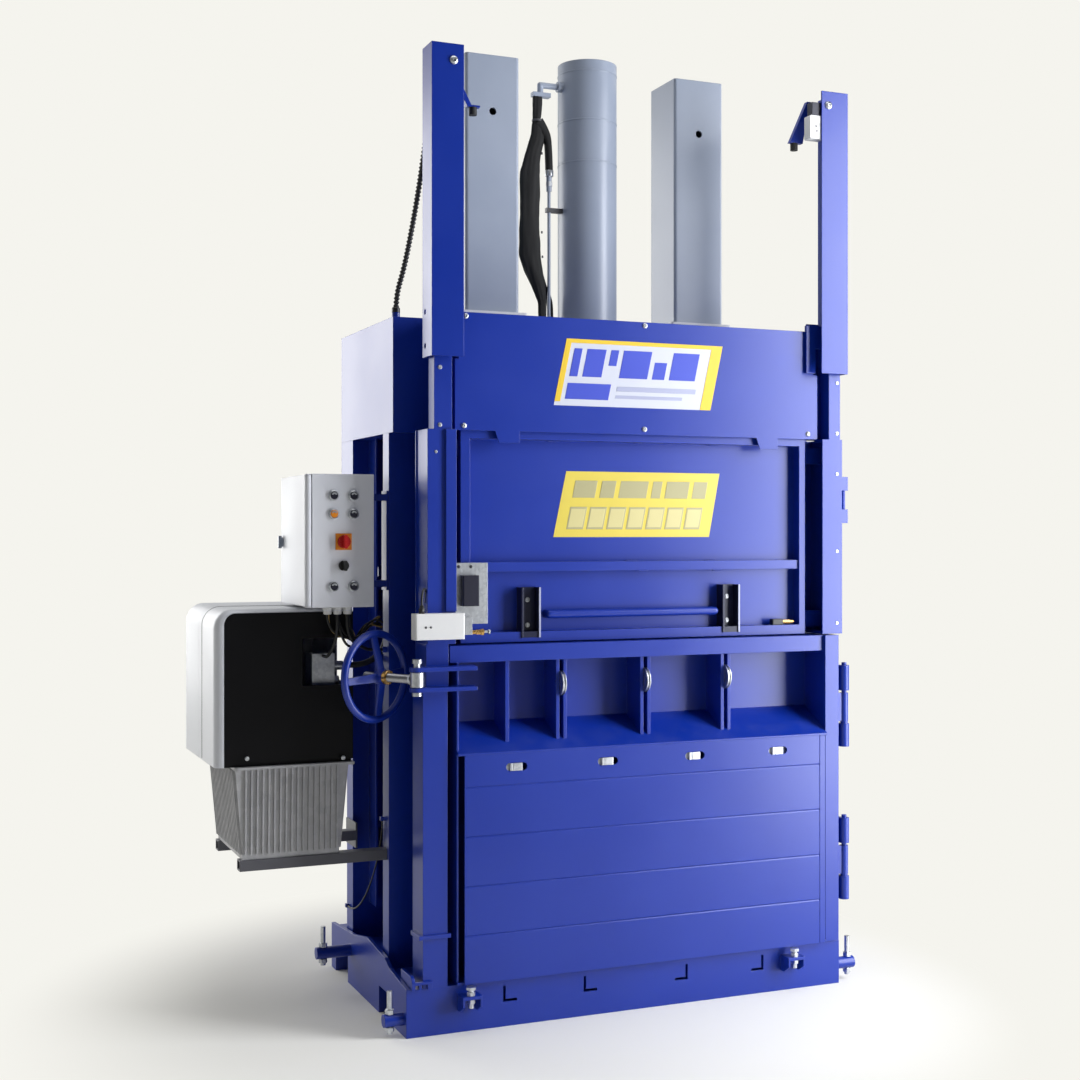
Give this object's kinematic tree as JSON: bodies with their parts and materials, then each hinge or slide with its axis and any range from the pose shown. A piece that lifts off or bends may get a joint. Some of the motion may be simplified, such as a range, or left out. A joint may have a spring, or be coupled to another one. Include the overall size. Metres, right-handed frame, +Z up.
{
  "type": "recycling baler",
  "caption": "Upright hydraulic recycling baler with a lift-up loading flap, a swinging bale door with a handwheel lock, press ram, power pack and control cabinet.",
  "frame": {"origin": "middle of the base's footprint, on the floor", "axes": "+X to the right seen from the front, +Y from the front to the back, +Z up"},
  "size_m": [2.032, 0.88, 3.008],
  "materials": {
    "blue_paint": "gloss",
    "grey_paint": "satin",
    "light_grey_paint": "satin",
    "black_paint": "satin",
    "rail_paint": "satin",
    "tank_casting": "matt",
    "zinc": "satin",
    "steel": "satin",
    "rod_chrome": "gloss",
    "brass": "satin",
    "white_plastic": "satin",
    "black_plastic": "satin",
    "dark_plastic": "satin",
    "red_plastic": "gloss",
    "green_plastic": "gloss",
    "orange_plastic": "gloss",
    "hose_rubber": "matt",
    "buffer_rubber": "matt"
  },
  "bodies": {
    "frame": {"base_frame": "blue_paint", "anchor_bolts": "zinc", "left_side_wall": "blue_paint", "right_side_wall": "blue_paint", "rear_wall": "blue_paint", "lock_column": "blue_paint", "left_flap_guide": "blue_paint", "right_flap_guide": "blue_paint", "left_tower": "blue_paint", "right_tower": "blue_paint", "flap_buffers": "buffer_rubber", "limit_switch": "white_plastic", "head_cover": "blue_paint", "head_box": "blue_paint", "tube_guides": "white_plastic", "cylinder_barrel": "grey_paint", "steel_line": "steel", "branch_hose": "hose_rubber", "hose_sleeve": "hose_rubber", "sensor_conduit": "black_plastic", "hinge_brackets": "blue_paint", "interlock_switch": "white_plastic", "flap_switch": "dark_plastic", "cabinet_body": "light_grey_paint", "panel_bezels": "zinc", "control_cable": "hose_rubber", "motor_cable": "hose_rubber", "oil_tank": "tank_casting", "tank_lid": "black_paint", "pump_unit": "grey_paint", "pack_hose": "hose_rubber", "hood_shell": "light_grey_paint", "hood_front": "black_paint", "pack_rails": "rail_paint", "earth_lead": "hose_rubber"},
    "bale_door": {"door_panel": "blue_paint", "door_skin": "blue_paint", "strap_guides": "zinc", "lock_bars": "blue_paint"},
    "strap_roller_1": {"strap_roller_1": "zinc"},
    "strap_roller_2": {"strap_roller_2": "zinc"},
    "strap_roller_3": {"strap_roller_3": "zinc"},
    "loading_flap": {"loading_flap": "blue_paint", "flap_handle": "blue_paint"},
    "ram": {"platen": "blue_paint", "piston_rod": "rod_chrome", "guide_tubes": "grey_paint"},
    "swing_bolt": {"swing_bolt": "zinc"},
    "thrust_washer": {"thrust_washer": "brass"},
    "handwheel": {"handwheel": "blue_paint"},
    "cabinet_door": {"cabinet_door": "light_grey_paint"},
    "cabinet_latch": {"cabinet_latch": "black_plastic"},
    "main_switch_knob": {"main_switch_knob": "red_plastic"},
    "selector_knob": {"selector_knob": "black_plastic"},
    "push_button_1": {"push_button_1": "green_plastic"},
    "push_button_2": {"push_button_2": "black_plastic"},
    "push_button_3": {"push_button_3": "orange_plastic"},
    "push_button_4": {"push_button_4": "black_plastic"},
    "push_button_5": {"push_button_5": "white_plastic"},
    "push_button_6": {"push_button_6": "red_plastic"}
  },
  "joints": [
    {"name": "bale_door_hinge", "type": "hinge", "parent": "frame", "child": "bale_door", "pos_m": [0.747, -0.414, 0.653], "axis": [0, 0, 1], "range_deg": [0, 165]},
    {"name": "strap_roller_1_spin", "type": "hinge", "parent": "bale_door", "child": "strap_roller_1", "pos_m": [-0.238, -0.381, 1.002], "axis": [1, 0, 0], "continuous": true},
    {"name": "strap_roller_2_spin", "type": "hinge", "parent": "bale_door", "child": "strap_roller_2", "pos_m": [0.043, -0.381, 1.002], "axis": [1, 0, 0], "continuous": true},
    {"name": "strap_roller_3_spin", "type": "hinge", "parent": "bale_door", "child": "strap_roller_3", "pos_m": [0.324, -0.381, 1.002], "axis": [1, 0, 0], "continuous": true},
    {"name": "loading_flap_slide", "type": "slide", "parent": "frame", "child": "loading_flap", "axis": [0, 0, 1], "range_m": [0, 0.92]},
    {"name": "ram_slide", "type": "slide", "parent": "frame", "child": "ram", "axis": [0, 0, -1], "range_m": [0, 0.8]},
    {"name": "swing_bolt_hinge", "type": "hinge", "parent": "bale_door", "child": "swing_bolt", "pos_m": [-0.712, -0.449, 1.034], "axis": [0, 0, 1], "range_deg": [0, 100]},
    {"name": "handwheel_travel", "type": "slide", "parent": "swing_bolt", "child": "thrust_washer", "axis": [-0.4848, 0.8746, 0], "range_m": [0, 0.0301]},
    {"name": "handwheel_turn", "type": "hinge", "parent": "thrust_washer", "child": "handwheel", "pos_m": [-0.712, -0.449, 1.034], "axis": [-0.4848, 0.8746, 0], "range_deg": [0, 1800]},
    {"name": "cabinet_door_hinge", "type": "hinge", "parent": "frame", "child": "cabinet_door", "pos_m": [-0.979, -0.252, 1.43], "axis": [0, 0, 1], "range_deg": [0, 110]},
    {"name": "cabinet_latch_turn", "type": "hinge", "parent": "cabinet_door", "child": "cabinet_latch", "pos_m": [-0.989, 0.021, 1.425], "axis": [1, 0, 0], "range_deg": [0, 90]},
    {"name": "main_switch_turn", "type": "hinge", "parent": "frame", "child": "main_switch_knob", "pos_m": [-0.875, -0.259, 1.427], "axis": [0, 1, 0], "range_deg": [0, 90]},
    {"name": "selector_turn", "type": "hinge", "parent": "frame", "child": "selector_knob", "pos_m": [-0.875, -0.259, 1.357], "axis": [0, 1, 0], "range_deg": [-45, 45]},
    {"name": "push_button_1_press", "type": "slide", "parent": "frame", "child": "push_button_1", "axis": [0, 1, 0], "range_m": [0, 0.004], "stiffness_N_per_m": 400},
    {"name": "push_button_2_press", "type": "slide", "parent": "frame", "child": "push_button_2", "axis": [0, 1, 0], "range_m": [0, 0.004], "stiffness_N_per_m": 400},
    {"name": "push_button_3_press", "type": "slide", "parent": "frame", "child": "push_button_3", "axis": [0, 1, 0], "range_m": [0, 0.004], "stiffness_N_per_m": 400},
    {"name": "push_button_4_press", "type": "slide", "parent": "frame", "child": "push_button_4", "axis": [0, 1, 0], "range_m": [0, 0.004], "stiffness_N_per_m": 400},
    {"name": "push_button_5_press", "type": "slide", "parent": "frame", "child": "push_button_5", "axis": [0, 1, 0], "range_m": [0, 0.004], "stiffness_N_per_m": 400},
    {"name": "push_button_6_press", "type": "slide", "parent": "frame", "child": "push_button_6", "axis": [0, 1, 0], "range_m": [0, 0.004], "stiffness_N_per_m": 400}
  ],
  "couplings": [
    {"joint": "handwheel_travel", "follows": "handwheel_turn", "m_per_rad": 0.00095493}
  ]
}
